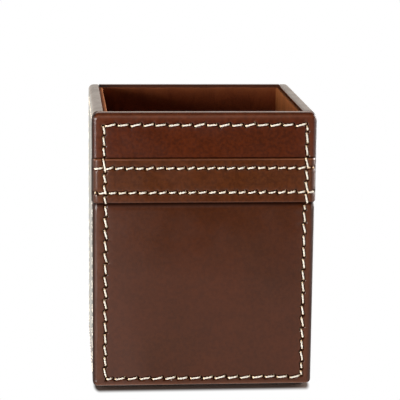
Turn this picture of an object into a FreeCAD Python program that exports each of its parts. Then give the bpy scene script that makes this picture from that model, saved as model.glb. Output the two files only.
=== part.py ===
import FreeCAD, Part
import os
import Sketcher

# A square, open pen cup: four boards wrapped in leather, a lining of card and suede, and cream stitching.
# Millimetres, +Z up. The origin is the centre of the foot, where the pad meets the desk; the front, which
# carries the raised band, faces -Y.
#
# Each panel is drawn in its own frame: x to the right as seen from outside, y inward from the outer face
# of the leather, z up from the panel's foot.

Vector = FreeCAD.Vector

SIZES = [
    # The cup as a whole
    ("cup_width", 82.1, "across the two side panels, leather to leather"),
    ("cup_depth", 82.1, "from the front leather to the back leather"),
    ("panel_height", 103.2, "from the panels' foot to the rim"),
    # The walls
    ("leather", 1.1, "thickness of the covering leather"),
    ("board", 2.0, "thickness of the boards inside the walls"),
    ("turn_in", 14.0, "leather turned over onto the inner side of a board"),
    ("outer_round", 2.0, "rounding of the leather's outer edges"),
    ("inner_round", 1.9, "rounding of the leather's inner edges"),
    ("rim_corner", 2.7, "corner of a panel at the rim, seen square on"),
    ("foot_corner", 2.1, "corner of a panel at the foot, seen square on"),
    ("upper_lap", 0.25, "how far the front's upper leather stands proud of the lower"),
    # The band across the front
    ("band_drop", 16.7, "from the rim down to the band"),
    ("band_height", 16.7, "height of the band"),
    ("band_thickness", 0.8, "thickness of the band on the front face"),
    ("band_wrap", 0.3, "thickness of the band's pared ends round the upright edges"),
    ("band_round", 0.25, "rounding of the band's long edges"),
    # The stitching
    ("thread", 0.6, "diameter of the thread"),
    ("stitch_show", 0.78, "share of each stitch that shows between two needle holes"),
    ("stitch_slant", 11.0, "slant of a stitch against its row, in degrees"),
    ("border_pitch", 4.5, "nearest stitch length of the border"),
    ("border_side", 4.4, "border row in from a panel's upright edge"),
    ("border_rim", 4.55, "border row down from the rim"),
    ("border_foot", 2.8, "border row up from the foot"),
    ("band_pitch", 3.7, "nearest stitch length of the band's rows"),
    ("band_row_rim", 3.65, "upper row down from the band's upper edge"),
    ("band_row_foot", 3.95, "lower row up from the band's lower edge"),
    ("crossing", 0.45, "room left each side of a border row where a band row meets it"),
    # The lining and the bottom
    ("liner_card", 1.0, "card inside the lining panels and under the floor lining"),
    ("suede", 0.6, "thickness of the suede"),
    ("liner_drop", 1.0, "from the rim down to the lining"),
    ("floor_fit", 0.15, "clearance round the floor lining"),
    ("base_board", 3.0, "thickness of the board that closes the bottom"),
    ("pad", 1.0, "thickness of the pad under the cup"),
    ("pad_inset", 2.5, "pad in from the outer leather"),
    ("pad_corner", 2.0, "corner radius of the pad"),
]

WALL = "(2 * Size.leather + Size.board)"
LINER = "(Size.liner_card + Size.suede)"
HALF_WIDTH = "(Size.cup_width / 2)"
HALF_DEPTH = "(Size.cup_depth / 2)"
SPLIT = "(Size.panel_height - Size.band_drop - Size.band_height / 2)"
BAND_TOP = "(Size.panel_height - Size.band_drop)"
BAND_FOOT = "(Size.panel_height - Size.band_drop - Size.band_height)"
INSIDE_RIM_CORNER = "max(Size.rim_corner - Size.leather; Size.leather / 4)"
INSIDE_FOOT_CORNER = "max(Size.foot_corner - Size.leather; Size.leather / 4)"
LINER_FOOT = "Size.base_board"
LINER_TOP = "(Size.panel_height - Size.liner_drop)"

# Each panel: its turn about Z, its two ends as seen from outside, and which ends are free. The front laps
# over the ends of the side panels, and the back is let in between them.
PANELS = {
    "front": {
        "turn": 0,
        "left": "-" + HALF_WIDTH,
        "right": HALF_WIDTH,
        "free": ("left", "right"),
    },
    "right": {
        "turn": 90,
        "left": "-(" + HALF_DEPTH + " - " + WALL + ")",
        "right": HALF_DEPTH,
        "free": ("right",),
    },
    "back": {
        "turn": 180,
        "left": "-(" + HALF_WIDTH + " - " + WALL + ")",
        "right": "(" + HALF_WIDTH + " - " + WALL + ")",
        "free": (),
    },
    "left": {
        "turn": -90,
        "left": "-" + HALF_DEPTH,
        "right": "(" + HALF_DEPTH + " - " + WALL + ")",
        "free": ("left",),
    },
}

ON_PLANE = 1e-4


def make_sheet(doc):
    """The driving dimensions: one named number a row."""
    sheet = doc.addObject("Spreadsheet::Sheet", "Size")
    for row, (alias, value, note) in enumerate(SIZES, start=1):
        sheet.set("A%d" % row, note)
        sheet.set("B%d" % row, str(value))
        sheet.setAlias("B%d" % row, alias)
    doc.recompute()
    return sheet


def evaluate(expression):
    """The value in millimetres of an expression on the sheet."""
    return float(size_sheet.evalExpression(expression))


# ---------------------------------------------------------------------------------------------------------
# Placing pieces in a panel's frame
# ---------------------------------------------------------------------------------------------------------

def panel_to_cup(panel, along, inward):
    """Expressions for the cup's x and y of a point given along and inward of a panel's outer face."""
    return {
        "front": (along, "-" + HALF_DEPTH + " + " + inward),
        "right": (HALF_WIDTH + " - (" + inward + ")", along),
        "back": ("-(" + along + ")", HALF_DEPTH + " - (" + inward + ")"),
        "left": ("-" + HALF_WIDTH + " + " + inward, "-(" + along + ")"),
    }[panel]


def place(piece, panel, along="0", inward="0", up="0"):
    """Turn a piece with its panel, and bind its place to the sheet."""
    turn = FreeCAD.Rotation(Vector(0, 0, 1), PANELS[panel]["turn"])
    piece.Placement = FreeCAD.Placement(Vector(), turn)
    across, deep = panel_to_cup(panel, along, inward)
    piece.setExpression("Placement.Base.x", across)
    piece.setExpression("Placement.Base.y", deep)
    piece.setExpression("Placement.Base.z", "Size.pad + " + up)


def panel_box(doc, name, panel, left, right, outer, inner, foot, top):
    """A plain block in a panel's frame, given by its six faces."""
    box = doc.addObject("Part::Box", name)
    box.Label = name
    box.setExpression("Length", right + " - (" + left + ")")
    box.setExpression("Width", inner + " - (" + outer + ")")
    box.setExpression("Height", top + " - (" + foot + ")")
    place(box, panel, left, outer, foot)
    return box


def cup_box(doc, name, half_width, half_depth, foot, top):
    """A plain block centred on the cup's axis."""
    box = doc.addObject("Part::Box", name)
    box.Label = name
    box.setExpression("Length", "2 * " + half_width)
    box.setExpression("Width", "2 * " + half_depth)
    box.setExpression("Height", top + " - (" + foot + ")")
    box.setExpression("Placement.Base.x", "-" + half_width)
    box.setExpression("Placement.Base.y", "-" + half_depth)
    box.setExpression("Placement.Base.z", foot)
    return box


def cut(doc, name, base, tools):
    """The base piece less one or more tools."""
    tool = tools[0]
    if len(tools) > 1:
        tool = doc.addObject("Part::MultiFuse", name + "_tool")
        tool.Shapes = tools
    result = doc.addObject("Part::Cut", name)
    result.Label = name
    result.Base = base
    result.Tool = tool
    return result


# ---------------------------------------------------------------------------------------------------------
# Rounded panels
# ---------------------------------------------------------------------------------------------------------

def rectangle(body, name, plane_role, left, right, foot, top, set_in="0"):
    """A rectangle on one of the body's own planes, set in from it, with its four sides bound."""
    sketch = body.newObject("Sketcher::SketchObject", name)
    plane = [item for item in body.Origin.OriginFeatures if item.Role == plane_role][0]
    sketch.AttachmentSupport = (plane, [""])
    sketch.MapMode = "FlatFace"
    sketch.setExpression("AttachmentOffset.Base.z", "-(" + set_in + ")")
    corners = [Vector(-1, 0, 0), Vector(1, 0, 0), Vector(1, 1, 0), Vector(-1, 1, 0)]
    for index in range(4):
        sketch.addGeometry(Part.LineSegment(corners[index], corners[(index + 1) % 4]))
    for index in range(4):
        sketch.addConstraint(Sketcher.Constraint("Coincident", index, 2, (index + 1) % 4, 1))
    for index, direction in enumerate(["Horizontal", "Vertical", "Horizontal", "Vertical"]):
        sketch.addConstraint(Sketcher.Constraint(direction, index))
    sides = [("DistanceX", 0, left), ("DistanceY", 0, foot), ("DistanceX", 2, right), ("DistanceY", 2, top)]
    for direction, line, side in sides:
        bound = sketch.addConstraint(Sketcher.Constraint(direction, line, 1, evaluate(side)))
        sketch.setExpression("Constraints[%d]" % bound, side)
    return sketch


def pad_inward(body, sketch, length):
    """Extrude a panel's sketch inward."""
    pad = body.newObject("PartDesign::Pad", "pad")
    pad.Profile = sketch
    pad.Reversed = True
    pad.setExpression("Length", length)
    body.Document.recompute()
    return pad


def edges_where(feature, test):
    """Names of the feature's edges whose bounds pass the test."""
    numbered = enumerate(feature.Shape.Edges, start=1)
    return ["Edge%d" % number for number, edge in numbered if test(edge.BoundBox)]


def round_edges(body, base, radius, test):
    """Fillet the chosen edges of a body's last feature."""
    fillet = body.newObject("PartDesign::Fillet", "fillet")
    fillet.Base = (base, edges_where(base, test))
    fillet.setExpression("Radius", radius)
    body.Document.recompute()
    return fillet


def lies_at(low, high, value):
    """True where a span of bounds is flat and lies at the value."""
    return abs(low - value) < ON_PLANE and abs(high - value) < ON_PLANE


def edge_through(end, height):
    """A test for the edge that runs inward at one corner of a panel."""
    at_x = evaluate(end)
    at_z = evaluate(height)
    return lambda bounds: lies_at(bounds.XMin, bounds.XMax, at_x) and lies_at(bounds.ZMin, bounds.ZMax, at_z)


def rounded_panel(doc, name, panel, left, right, foot, top, proud, corners, butted):
    """The outer form of a leather cover: a slab with rounded corners and rolled edges.

    corners lists (end, height, radius) of the corners seen square on. butted lists the ends and heights,
    as ("x", value) or ("z", value), where the leather meets a neighbour square and isn't rolled.
    """
    body = doc.addObject("PartDesign::Body", name)
    sketch = rectangle(body, name + "_outline", "XZ_Plane", left, right, foot, top, "-(" + proud + ")")
    last = pad_inward(body, sketch, WALL + " + " + proud)
    for end, height, radius in corners:
        last = round_edges(body, last, radius, edge_through(end, height))
    for depth, radius in (("-(" + proud + ")", "Size.outer_round"), (WALL, "Size.inner_round")):
        at_y = evaluate(depth)

        def rolled_edge(bounds):
            if not lies_at(bounds.YMin, bounds.YMax, at_y):
                return False
            for axis, value in butted:
                low = bounds.XMin if axis == "x" else bounds.ZMin
                high = bounds.XMax if axis == "x" else bounds.ZMax
                if lies_at(low, high, evaluate(value)):
                    return False
            return True

        last = round_edges(body, last, radius, rolled_edge)
    place(body, panel)
    return body


def board_of(doc, panel):
    """The stiff board inside a panel's leather, its free corners rounded like the leather's."""
    ends = PANELS[panel]
    body = doc.addObject("PartDesign::Body", panel + "_board")
    body.Label = panel + "_board"
    left = ends["left"] + " + Size.leather"
    right = ends["right"] + " - Size.leather"
    foot = "Size.leather"
    top = "Size.panel_height - Size.leather"
    sketch = rectangle(body, panel + "_board_outline", "XZ_Plane", left, right, foot, top, "Size.leather")
    last = pad_inward(body, sketch, "Size.board")
    free_ends = [{"left": left, "right": right}[side] for side in ends["free"]]
    for end in free_ends:
        last = round_edges(body, last, INSIDE_RIM_CORNER, edge_through(end, top))
        last = round_edges(body, last, INSIDE_FOOT_CORNER, edge_through(end, foot))
    place(body, panel)
    return body


def opening_of(doc, panel):
    """The space on a board's inner side that the turned-in leather leaves bare."""
    ends = PANELS[panel]
    return panel_box(
        doc, panel + "_bare_field", panel,
        ends["left"] + " + Size.turn_in", ends["right"] + " - Size.turn_in",
        "Size.leather", WALL,
        "Size.turn_in", "Size.panel_height - Size.turn_in")


def plain_cover(doc, panel, board):
    """One-piece leather cover of a side or back panel."""
    ends = PANELS[panel]
    corners = []
    butted = []
    for side in ("left", "right"):
        if side in ends["free"]:
            corners.append((ends[side], "Size.panel_height", "Size.rim_corner"))
            corners.append((ends[side], "0", "Size.foot_corner"))
        else:
            butted.append(("x", ends[side]))
    form = rounded_panel(doc, panel + "_form", panel, ends["left"], ends["right"],
                         "0", "Size.panel_height", "0", corners, butted)
    return cut(doc, panel + "_leather", form, [board, opening_of(doc, panel)])


def front_covers(doc, board):
    """The front's leather is in two pieces that meet under the band."""
    ends = PANELS["front"]
    bare_field = opening_of(doc, "front")
    upper_ends = [ends["left"] + " - Size.upper_lap", ends["right"] + " + Size.upper_lap"]
    upper = rounded_panel(
        doc, "front_upper_form", "front", upper_ends[0], upper_ends[1], SPLIT, "Size.panel_height",
        "Size.upper_lap", [(end, "Size.panel_height", "Size.rim_corner") for end in upper_ends],
        [("z", SPLIT)])
    lower_ends = [ends["left"], ends["right"]]
    lower = rounded_panel(
        doc, "front_lower_form", "front", lower_ends[0], lower_ends[1], "0", SPLIT,
        "0", [(end, "0", "Size.foot_corner") for end in lower_ends],
        [("z", SPLIT)])
    covers = [
        cut(doc, "front_upper_leather", upper, [board, bare_field]),
        cut(doc, "front_lower_leather", lower, [board, bare_field]),
    ]
    return covers, [upper, lower]


def band(doc, front_forms):
    """The raised band: flat on the front, pared thin where it wraps the panel's upright edges."""
    proud = "(Size.upper_lap + Size.band_thickness)"
    half = "(" + HALF_WIDTH + " + Size.upper_lap + Size.band_wrap)"
    body = doc.addObject("PartDesign::Body", "band_form")
    sketch = rectangle(body, "band_outline", "XZ_Plane", "-" + half, half, BAND_FOOT, BAND_TOP, "-" + proud)
    last = pad_inward(body, sketch, proud + " + " + WALL + " - Size.inner_round")
    face = -evaluate(proud)
    end = evaluate(half)

    def upright_edge(bounds):
        at_end = lies_at(bounds.XMin, bounds.XMax, end) or lies_at(bounds.XMin, bounds.XMax, -end)
        return at_end and lies_at(bounds.YMin, bounds.YMax, face)

    def long_edge(bounds):
        levels = [evaluate(BAND_TOP), evaluate(BAND_FOOT)]
        on_level = any(lies_at(bounds.ZMin, bounds.ZMax, level) for level in levels)
        return on_level and bounds.YMin < evaluate(WALL + " - Size.inner_round") - ON_PLANE

    last = round_edges(body, last, "Size.outer_round + Size.band_wrap", upright_edge)
    last = round_edges(body, last, "Size.band_round", long_edge)
    place(body, "front")
    return cut(doc, "front_band", body, front_forms)


# ---------------------------------------------------------------------------------------------------------
# Stitching: rows of half-round stitches that lie on the leather
# ---------------------------------------------------------------------------------------------------------

def stitch_row(start, end, surface, pitch):
    """Stitches from one needle hole to another in a panel's frame, as solids in a list.

    Seen from outside, a level row's stitches rise to the right and an upright row's lean to the left.
    """
    run = Vector(end[0] - start[0], 0, end[1] - start[1])
    count = max(1, round(run.Length / pitch))
    step = run.Length / count
    shown = step * evaluate("Size.stitch_show")
    radius = evaluate("Size.thread / 2")
    upright = abs(run.z) > abs(run.x)
    lean = (90 if upright else 0) + evaluate("Size.stitch_slant")
    turn = FreeCAD.Rotation(Vector(0, 1, 0), -lean)
    stitches = []
    for index in range(count):
        middle = Vector(start[0], surface, start[1]) + run * ((index + 0.5) / count)
        stitch = Part.makeCylinder(radius, shown, Vector(-shown / 2, 0, 0), Vector(1, 0, 0), 180)
        stitch.Placement = FreeCAD.Placement(middle, turn)
        stitches.append(stitch)
    return stitches


def thread_piece(doc, name, panel, stitches):
    """One run of thread, as the stitches that show."""
    piece = doc.addObject("Part::Feature", name)
    piece.Label = name
    piece.Shape = Part.Compound(stitches)
    place(piece, panel)
    return piece


def border_thread(doc, panel):
    """The border row round a panel. On the front it steps over the band."""
    ends = PANELS[panel]
    left = evaluate(ends["left"] + " + Size.border_side")
    right = evaluate(ends["right"] + " - Size.border_side")
    foot = evaluate("Size.border_foot")
    top = evaluate("Size.panel_height - Size.border_rim")
    upper_face = 0.0
    upright_spans = [(foot, top, 0.0)]
    if panel == "front":
        upper_face = -evaluate("Size.upper_lap")
        band_face = upper_face - evaluate("Size.band_thickness")
        band_foot = evaluate(BAND_FOOT)
        band_top = evaluate(BAND_TOP)
        upright_spans = [(foot, band_foot, 0.0), (band_foot, band_top, band_face), (band_top, top, upper_face)]
    pitch = evaluate("Size.border_pitch")
    stitches = stitch_row((left, top), (right, top), upper_face, pitch)
    stitches += stitch_row((left, foot), (right, foot), 0.0, pitch)
    for low, high, surface in upright_spans:
        for end in (left, right):
            stitches += stitch_row((end, low), (end, high), surface, pitch)
    return thread_piece(doc, panel + "_border_thread", panel, stitches)


def band_thread(doc, name, height):
    """One level row on the band, open where the border's upright rows cross it."""
    surface = -evaluate("Size.upper_lap + Size.band_thickness")
    flat_end = evaluate(HALF_WIDTH + " + Size.upper_lap - Size.outer_round")
    crossed_at = evaluate(HALF_WIDTH + " - Size.border_side")
    room = evaluate("Size.crossing")
    spans = [
        (-flat_end, -crossed_at - room),
        (-crossed_at + room, crossed_at - room),
        (crossed_at + room, flat_end),
    ]
    level = evaluate(height)
    stitches = []
    for start, end in spans:
        stitches += stitch_row((start, level), (end, level), surface, evaluate("Size.band_pitch"))
    return thread_piece(doc, name, "front", stitches)


# ---------------------------------------------------------------------------------------------------------
# Lining, floor and foot
# ---------------------------------------------------------------------------------------------------------

def liner(doc, panel):
    """A lining panel: card against the wall, and suede over its face and upper edge."""
    half = "(" + HALF_WIDTH + " - " + WALL + ")"
    if panel in ("left", "right"):
        half = "(" + HALF_DEPTH + " - " + WALL + " - " + LINER + ")"
    card = panel_box(doc, panel + "_liner_card", panel, "-" + half, half,
                     WALL, WALL + " + Size.liner_card", LINER_FOOT, LINER_TOP + " - Size.suede")
    block = panel_box(doc, panel + "_liner_block", panel, "-" + half, half,
                      WALL, WALL + " + " + LINER, LINER_FOOT, LINER_TOP)
    return [card, cut(doc, panel + "_liner_suede", block, [card])]


def floor_lining(doc):
    """Card and suede that lie on the base board between the lining panels."""
    half_width = "(" + HALF_WIDTH + " - " + WALL + " - " + LINER + " - Size.floor_fit)"
    half_depth = "(" + HALF_DEPTH + " - " + WALL + " - " + LINER + " - Size.floor_fit)"
    card_foot = "(Size.pad + Size.base_board)"
    card_top = "(" + card_foot + " + Size.liner_card)"
    card = cup_box(doc, "floor_card", half_width, half_depth, card_foot, card_top)
    suede = cup_box(doc, "floor_suede", half_width, half_depth, card_top, card_top + " + Size.suede")
    return [card, suede]


def base_board(doc):
    """The board that closes the bottom, let in between the four walls."""
    half_width = "(" + HALF_WIDTH + " - " + WALL + ")"
    half_depth = "(" + HALF_DEPTH + " - " + WALL + ")"
    return cup_box(doc, "base_board", half_width, half_depth, "Size.pad", "Size.pad + Size.base_board")


def base_pad(doc):
    """The pad the cup stands on, set in from the leather."""
    half_width = "(" + HALF_WIDTH + " - Size.pad_inset)"
    half_depth = "(" + HALF_DEPTH + " - Size.pad_inset)"
    body = doc.addObject("PartDesign::Body", "base_pad")
    body.Label = "base_pad"
    outline = rectangle(body, "pad_outline", "XY_Plane", "-" + half_width, half_width,
                        "-" + half_depth, half_depth)
    pad = body.newObject("PartDesign::Pad", "pad_slab")
    pad.Profile = outline
    pad.setExpression("Length", "Size.pad")
    doc.recompute()

    def upright(bounds):
        return bounds.ZMax - bounds.ZMin > ON_PLANE

    round_edges(body, pad, "Size.pad_corner", upright)
    return body


def build(doc):
    """Every piece of the cup."""
    front_board = board_of(doc, "front")
    covers, front_forms = front_covers(doc, front_board)
    pieces = [front_board] + covers + [band(doc, front_forms)]
    for panel in ("right", "back", "left"):
        board = board_of(doc, panel)
        pieces += [board, plain_cover(doc, panel, board)]
    for panel in PANELS:
        pieces.append(border_thread(doc, panel))
        pieces += liner(doc, panel)
    pieces.append(band_thread(doc, "band_upper_thread", BAND_TOP + " - Size.band_row_rim"))
    pieces.append(band_thread(doc, "band_lower_thread", BAND_FOOT + " + Size.band_row_foot"))
    pieces += floor_lining(doc)
    pieces += [base_board(doc), base_pad(doc)]
    return pieces


def check(doc, pieces):
    """Stop if any object failed or any piece isn't sound."""
    for item in doc.Objects:
        if "Invalid" in item.State or "Error" in item.State:
            raise RuntimeError("%s: %s" % (item.Label, item.State))
    for piece in pieces:
        if piece.Shape.isNull() or not piece.Shape.isValid() or not piece.Shape.Solids:
            raise RuntimeError("%s has no sound solid" % piece.Label)


doc = FreeCAD.newDocument("pen_cup")
size_sheet = make_sheet(doc)
pieces = build(doc)
doc.recompute()
check(doc, pieces)
os.makedirs("parts", exist_ok=True)
for piece in pieces:
    piece.Shape.exportStep(os.path.join("parts", piece.Label + ".step"))
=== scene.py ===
from math import cos, dist, hypot, pi, radians, sin, sqrt, tan

import bmesh
import bpy
import numpy as np
from mathutils import Matrix, Vector
from mathutils.geometry import delaunay_2d_cdt


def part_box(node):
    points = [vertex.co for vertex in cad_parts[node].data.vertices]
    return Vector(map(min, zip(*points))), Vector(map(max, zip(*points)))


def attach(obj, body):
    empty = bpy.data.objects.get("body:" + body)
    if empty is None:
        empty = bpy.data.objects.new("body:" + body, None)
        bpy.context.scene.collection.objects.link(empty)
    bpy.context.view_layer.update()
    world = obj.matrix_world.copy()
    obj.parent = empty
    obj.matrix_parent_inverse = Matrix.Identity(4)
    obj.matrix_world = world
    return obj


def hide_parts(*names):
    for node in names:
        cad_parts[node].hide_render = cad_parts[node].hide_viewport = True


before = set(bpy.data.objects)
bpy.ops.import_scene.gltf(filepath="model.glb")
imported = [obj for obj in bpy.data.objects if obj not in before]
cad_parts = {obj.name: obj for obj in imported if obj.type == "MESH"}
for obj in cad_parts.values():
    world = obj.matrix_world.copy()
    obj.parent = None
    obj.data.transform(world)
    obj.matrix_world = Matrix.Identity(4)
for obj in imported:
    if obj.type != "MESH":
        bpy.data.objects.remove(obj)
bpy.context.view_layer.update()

# A square pen cup: leather-wrapped walls with raised stitching, a band across the front and a suede
# lining. Sizes are millimetres until a mesh is made. The walls' places come from the frame.
MM = 0.001
SEED = 11
QUARTER = pi / 2
rng = np.random.default_rng(SEED)

# The leather's rounded edges, and how far it is turned in behind the board.
OUTER_ROUND = 2.0
FOOT_ROUND = 1.1
INNER_ROUND = 0.8
RIM_CORNER = 2.7
FOOT_CORNER = 2.1
CORNER_POWER = 2.8
TURN_IN = 14.0

# The rows of stitches: how far in from the edges they run, and their pitch.
BORDER_SIDE = 4.4
BORDER_RIM = 4.55
BORDER_FOOT = 2.8
BORDER_PITCH = 4.5
BAND_ROW_TOP = 3.65
BAND_ROW_FOOT = 3.95


# ---- Walls, in frames with x to the right as seen from outside, depth inward, z up ----

OUTWARD = {"left": -1, "right": 1, "foot": -1, "top": 1}
FAR_INSIDE = -1e6


class Wall:
    """One wall's frame, taken from its leather in the model."""

    def __init__(self, along, node):
        self.along = np.array([along[0], along[1], 0.0])
        self.inward = np.array([-along[1], along[0], 0.0])
        self.face = 0.0
        self.face = self.span(node)[1][0]

    def span(self, node):
        """A node's reach along, inward and up, as (low, high) pairs."""
        corners = np.array([tuple(corner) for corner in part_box(node)]) / MM
        along = sorted(corners @ self.along)
        inward = sorted(corners @ self.inward - self.face)
        return along, inward, sorted(corners[:, 2])

    def to_cup(self, points):
        """Points of this wall's frame in the cup's frame, in metres."""
        x, depth, z = np.asarray(points, float).T
        flat = np.outer(x, self.along) + np.outer(depth + self.face, self.inward)
        flat[:, 2] = z
        return flat * MM


class Sheet:
    """Leather over part of a wall, unrolled: past a free edge, x and z run on round it to the inner side."""

    def __init__(self, wall, node, free):
        self.wall = wall
        self.node = node
        self.free = free
        (self.left, self.right), (self.outer, self.inner), (self.foot, self.top) = wall.span(node)
        self.side_flat = self.inner - self.outer - OUTER_ROUND - INNER_ROUND
        self.wrap = OUTER_ROUND * QUARTER + self.side_flat + INNER_ROUND * QUARTER

    def inset(self, side, if_free, if_fixed=0.0):
        """A side's x or z, moved inward by a distance that depends on whether it is free."""
        return getattr(self, side) - OUTWARD[side] * (if_free if side in self.free else if_fixed)

    def insets(self, if_free, if_fixed):
        """The sides' insets, as their low and high corner."""
        left, right, foot, top = [self.inset(side, if_free, if_fixed) for side in OUTWARD]
        return (left, foot), (right, top)

    def run(self, side, value):
        """How far values lie past the start of a side's rounding."""
        if side not in self.free:
            return FAR_INSIDE + 0 * value
        if OUTWARD[side] < 0:
            return getattr(self, side) + OUTER_ROUND - value
        return value - getattr(self, side) + OUTER_ROUND

    def runs(self, x, z):
        """Runs past the roundings' starts, sideways and upright, and the sides' signs."""
        low = np.array([self.run("left", x), self.run("foot", z)])
        high = np.array([self.run("right", x), self.run("top", z)])
        return np.maximum(low, high), np.where(high >= low, 1.0, -1.0)

    def profile(self, run, radius):
        """Inset, depth and facing angle at a run round a rounding of this radius."""
        spare = OUTER_ROUND - radius
        side_flat = self.side_flat + spare
        stretched = run * (1 + spare * (2 - QUARTER) / self.wrap)
        arc_run = np.where(run > 0, stretched, run) - spare
        outer_turn = np.clip(arc_run / radius, 0, QUARTER)
        flat_run = arc_run - radius * QUARTER
        inner_turn = np.clip((flat_run - side_flat) / INNER_ROUND, 0, QUARTER)
        inset = radius * (1 - np.sin(outer_turn)) - np.minimum(arc_run, 0)
        inset = inset + INNER_ROUND * (1 - np.cos(inner_turn))
        depth = radius * (1 - np.cos(outer_turn)) + np.clip(flat_run, 0, side_flat)
        depth = depth + INNER_ROUND * np.sin(inner_turn)
        return inset, depth, outer_turn + inner_turn

    def place(self, x, z, lift):
        """Where unrolled points lie in the wall's frame, raised by lift."""
        run, sign = self.runs(x, z)
        edge = np.where(sign > 0, [[self.right], [self.top]], [[self.left], [self.foot]])
        upper = sign[1] > 0
        corner = np.where(upper, RIM_CORNER, FOOT_CORNER)
        over = run + corner - OUTER_ROUND
        in_corner = (over > 0).all(axis=0)
        more = np.maximum(over.max(axis=0), 1e-9)
        swing = np.where(in_corner, over.min(axis=0) / more, 0) * pi / 4
        angle = np.where(over[0] >= over[1], swing, QUARTER - swing)
        sideways = run[0] >= run[1]
        toward_foot = np.where(in_corner, angle / QUARTER, ~sideways) * ~upper
        radius = OUTER_ROUND + (FOOT_ROUND - OUTER_ROUND) * toward_foot
        inset, depth, facing = self.profile(run.max(axis=0), radius)
        turned = np.array([np.cos(angle), np.sin(angle)])
        across = np.array([sideways, ~sideways])
        out = np.where(in_corner, turned, across) * sign
        square = (turned ** CORNER_POWER).sum(axis=0) ** (-1 / CORNER_POWER)
        reach = (corner - inset) * np.where(upper, 1, square)
        flat = np.where(across, edge - sign * inset, [x, z])
        x, z = np.where(in_corner, edge - sign * corner + out * reach, flat) + lift * out * np.sin(facing)
        return np.column_stack([x, self.outer + depth - lift * np.cos(facing), z])


WALLS = {
    "front": Wall((1, 0), "front_lower_leather"),
    "right": Wall((0, 1), "right_leather"),
    "back": Wall((-1, 0), "back_leather"),
    "left": Wall((0, -1), "left_leather"),
}
FRONT = WALLS["front"]
BAND_FOOT, BAND_TOP = FRONT.span("front_band")[2]


# ---- Stitches, as rows of x, z, x, z on a sheet ----

HOLE_GAP = 0.46
HOLE_GAP_SPREAD = (0.75, 1.2)
STITCH_SLANT = radians(11)
SLANT_SPREAD = (0.6, 1.4)
WANDER = 0.07
WANDER_ACROSS = 0.7


def stitch_row(start, end, count):
    """Stitches along a row, each slanting from its hole to the next."""
    start = np.array(start, float)
    pitch = (np.array(end, float) - start) / count
    length = np.linalg.norm(pitch)
    ahead = pitch / length
    across = np.array([-ahead[1], ahead[0]])
    holes = start + np.outer(np.arange(count + 1), pitch)
    holes[1:-1] += np.outer(rng.normal(0, WANDER, count - 1), ahead)
    holes[1:-1] += np.outer(rng.normal(0, WANDER * WANDER_ACROSS, count - 1), across)
    slit = (length - 2 * HOLE_GAP) * tan(STITCH_SLANT) / 2 * rng.uniform(*SLANT_SPREAD, (count, 1))
    short = HOLE_GAP * rng.uniform(*HOLE_GAP_SPREAD, (count, 2))
    leaving = holes[:-1] - across * slit + ahead * short[:, :1]
    entering = holes[1:] + across * slit - ahead * short[:, 1:]
    return np.hstack([leaving, entering])


def border_rows(lines):
    """A border's stitches: a row along each of its lines."""
    return np.vstack([
        stitch_row(line[:2], line[2:], round(dist(line[:2], line[2:]) / BORDER_PITCH))
        for line in lines
    ])


def line_distance(x, z, line):
    """Distance of points from a line, given as its ends' x, z, x, z."""
    ax, az, bx, bz = line
    span = np.array([bx - ax, bz - az])
    share = np.clip(((x - ax) * span[0] + (z - az) * span[1]) / (span @ span), 0, 1)
    return np.hypot(x - ax - share * span[0], z - az - share * span[1])


GROOVE_DEPTH = 0.45
GROOVE_FLOOR = 0.42
GROOVE_EDGE = 0.68
# Painted shade along the stitch grooves: how dark it is and how wide.
GROOVE_SHADE = 0.6
SHADE_WIDTH = 0.6
PULL_DEPTH = 0.05
PULL_WIDTH = 1.1
HOLE_DEPTH = 0.4
HOLE_WIDTH = 0.5
RELIEF_REACH = 3.0


def soft_step(share):
    """0 up to 0, 1 from 1 on and smooth between."""
    share = np.clip(share, 0, 1)
    return share * share * (3 - 2 * share)


def bell(distance, width):
    """1 at no distance, fading over about this width."""
    return np.exp(-((distance / width) ** 2))


def relief(x, z, stitches):
    """How far the stitches press the leather in, and the painted shade in their holes and along their
    grooves.
    """
    thread, hole = np.full((2, len(x)), np.inf)
    points = np.column_stack([x, z])
    for stitch in stitches:
        ends = stitch.reshape(2, 2)
        near = (points > ends.min(0) - RELIEF_REACH) & (points < ends.max(0) + RELIEF_REACH)
        near = near.all(1)
        thread[near] = np.minimum(thread[near], line_distance(x[near], z[near], stitch))
        for end_x, end_z in ends:
            hole[near] = np.minimum(hole[near], np.hypot(x[near] - end_x, z[near] - end_z))
    groove = soft_step((GROOVE_EDGE - thread) / (GROOVE_EDGE - GROOVE_FLOOR))
    deep = bell(hole, HOLE_WIDTH)
    depth = PULL_DEPTH * bell(thread, PULL_WIDTH) + GROOVE_DEPTH * groove + HOLE_DEPTH * deep
    return depth, np.clip(deep + GROOVE_SHADE * bell(thread, SHADE_WIDTH), 0, 1)


WAVELENGTHS = (61.0, 37.0, 23.0, 14.0, 9.0)


def undulation(x, z, size, seed):
    """A gentle unevenness of hand-wrapped leather, about size high."""
    waves = np.random.default_rng(seed)
    total = np.zeros_like(x)
    for wavelength in WAVELENGTHS:
        heading, phase = waves.uniform(0, 2 * pi, 2)
        along = x * cos(heading) + z * sin(heading)
        total += np.sin(along * 2 * pi / wavelength + phase) * wavelength / WAVELENGTHS[0]
    return total * size / 2


# ---- Meshes ----

SMOOTH_ANGLE = 35.0
SOFT_ANGLE = 50.0
THREAD_ANGLE = 60.0


def new_object(name, data):
    made = bpy.data.objects.new(name, data)
    bpy.context.scene.collection.objects.link(made)
    return made


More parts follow.
